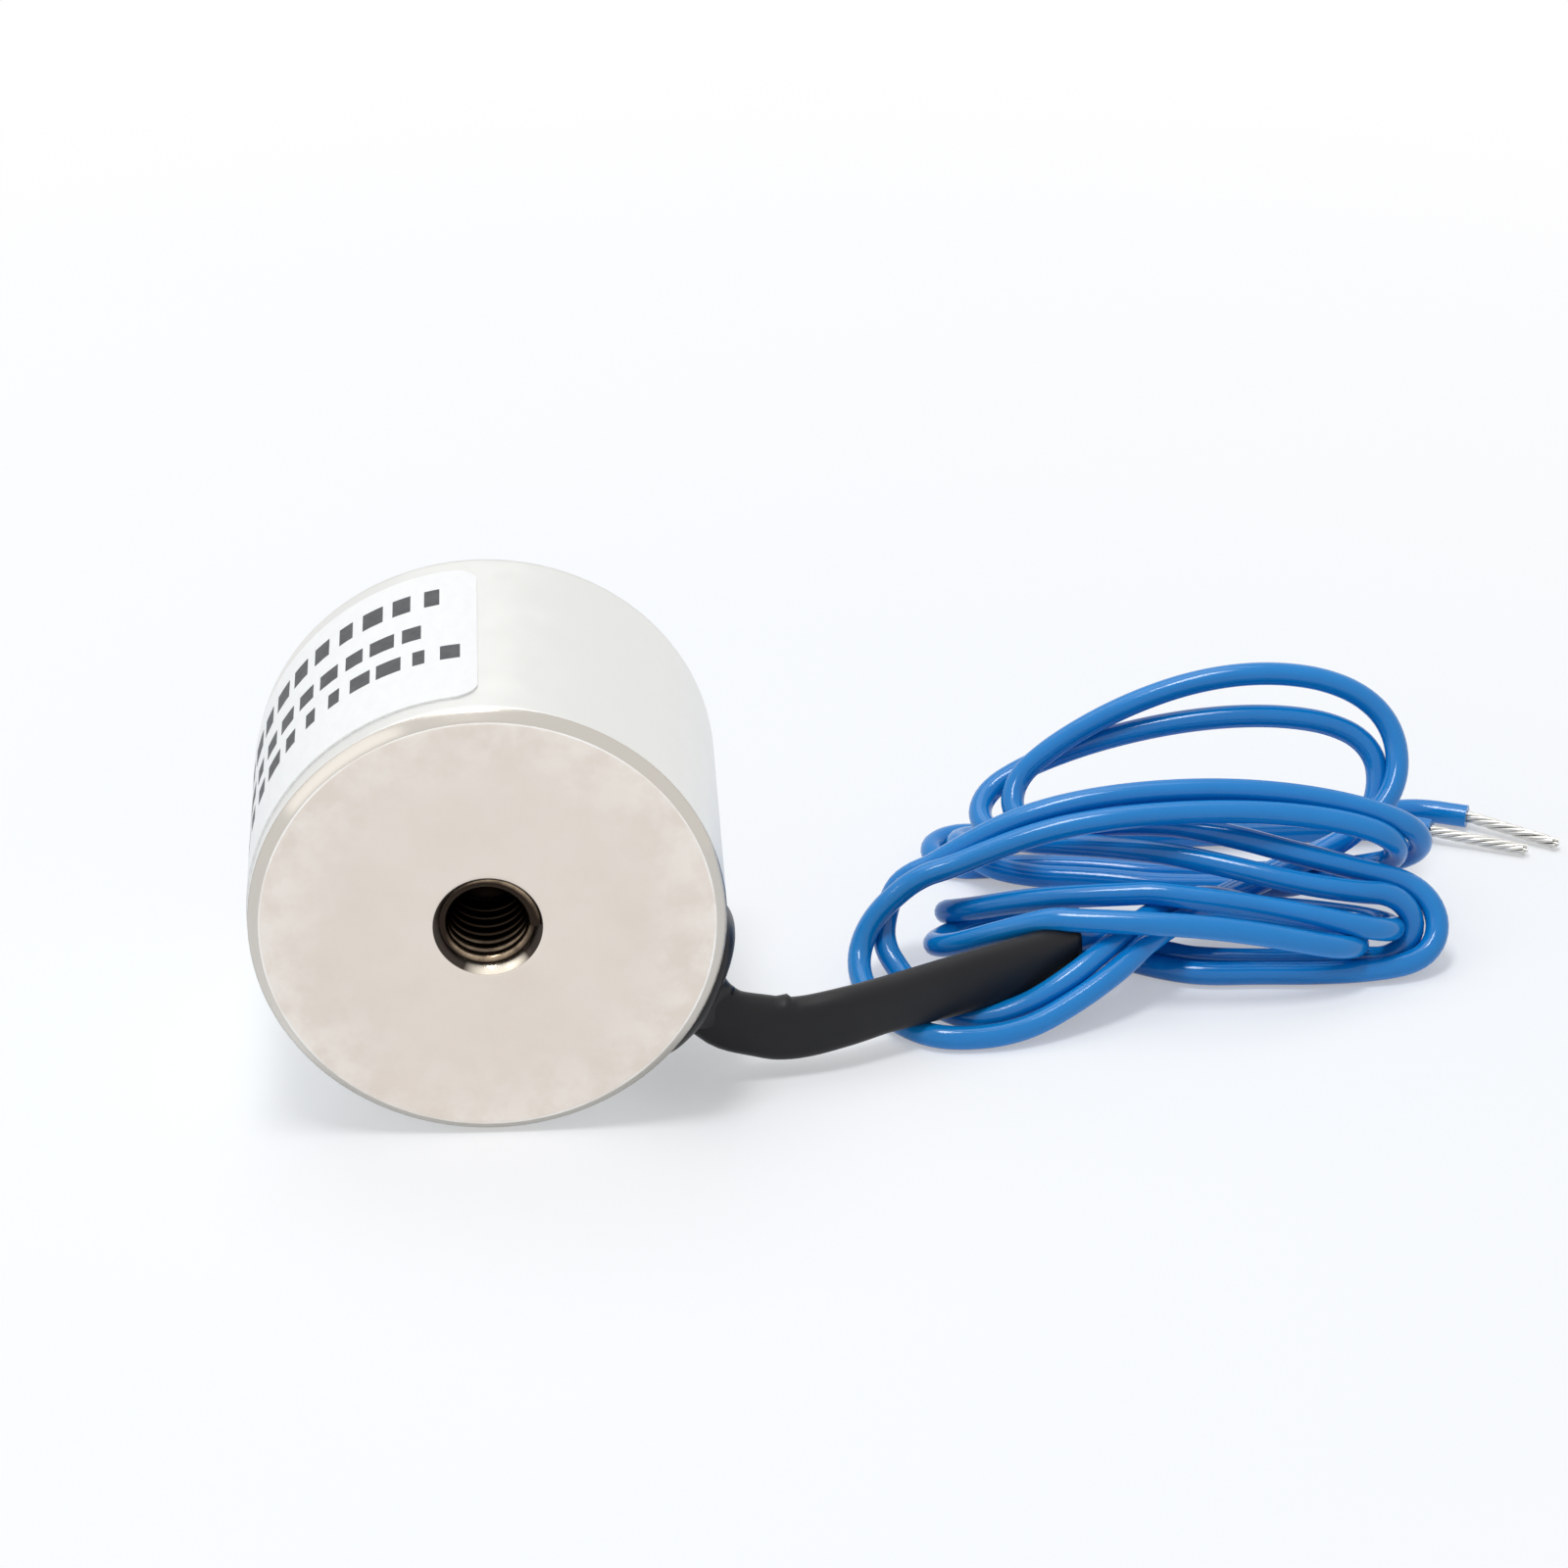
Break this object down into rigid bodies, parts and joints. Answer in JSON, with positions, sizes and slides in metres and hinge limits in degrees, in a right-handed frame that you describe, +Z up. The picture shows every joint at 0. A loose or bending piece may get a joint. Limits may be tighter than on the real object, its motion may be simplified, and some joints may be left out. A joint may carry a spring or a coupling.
{
  "type": "holding electromagnet",
  "caption": "Cylindrical pot holding electromagnet with a tapped hole in its mounting face, a flat holding face and two coiled flying leads in a short sleeve.",
  "frame": {"origin": "on the surface that the magnet lies on, under the middle of its steel pot", "axes": "+Y along the pot's axis from mounting face to holding face, +X towards the side where the leads leave, +Z up"},
  "size_m": [0.06, 0.0264, 0.0201],
  "materials": {
    "plated_steel": "satin nickel plate over turned steel",
    "bobbin_nylon": "moulded natural nylon",
    "enamelled_copper": "enamelled copper wire, layer wound",
    "coil_tape": "polyester film tape",
    "solder": "bright solder",
    "black_resin": "cast black epoxy",
    "black_sleeve": "satin heat-shrink sleeve",
    "blue_insulation": "glossy extruded PVC",
    "tinned_strands": "tinned copper strands",
    "white_paper": "satin white self-adhesive label"
  },
  "bodies": {
    "root": {"pot_body": "plated_steel", "coil_bobbin": "bobbin_nylon", "copper_winding": "enamelled_copper", "winding_tape": "coil_tape", "solder_joint_1": "solder", "solder_joint_2": "solder", "casting_resin": "black_resin", "exit_seal": "black_resin", "lead_sleeve": "black_sleeve", "lead_1": "blue_insulation", "lead_2": "blue_insulation", "lead_hank": "blue_insulation", "raised_turn": "blue_insulation", "floor_turn": "blue_insulation", "lead_1_tail": "blue_insulation", "lead_2_tail": "blue_insulation", "lead_1_tip": "tinned_strands", "lead_2_tip": "tinned_strands", "paper_label": "white_paper"}
  },
  "joints": []
}
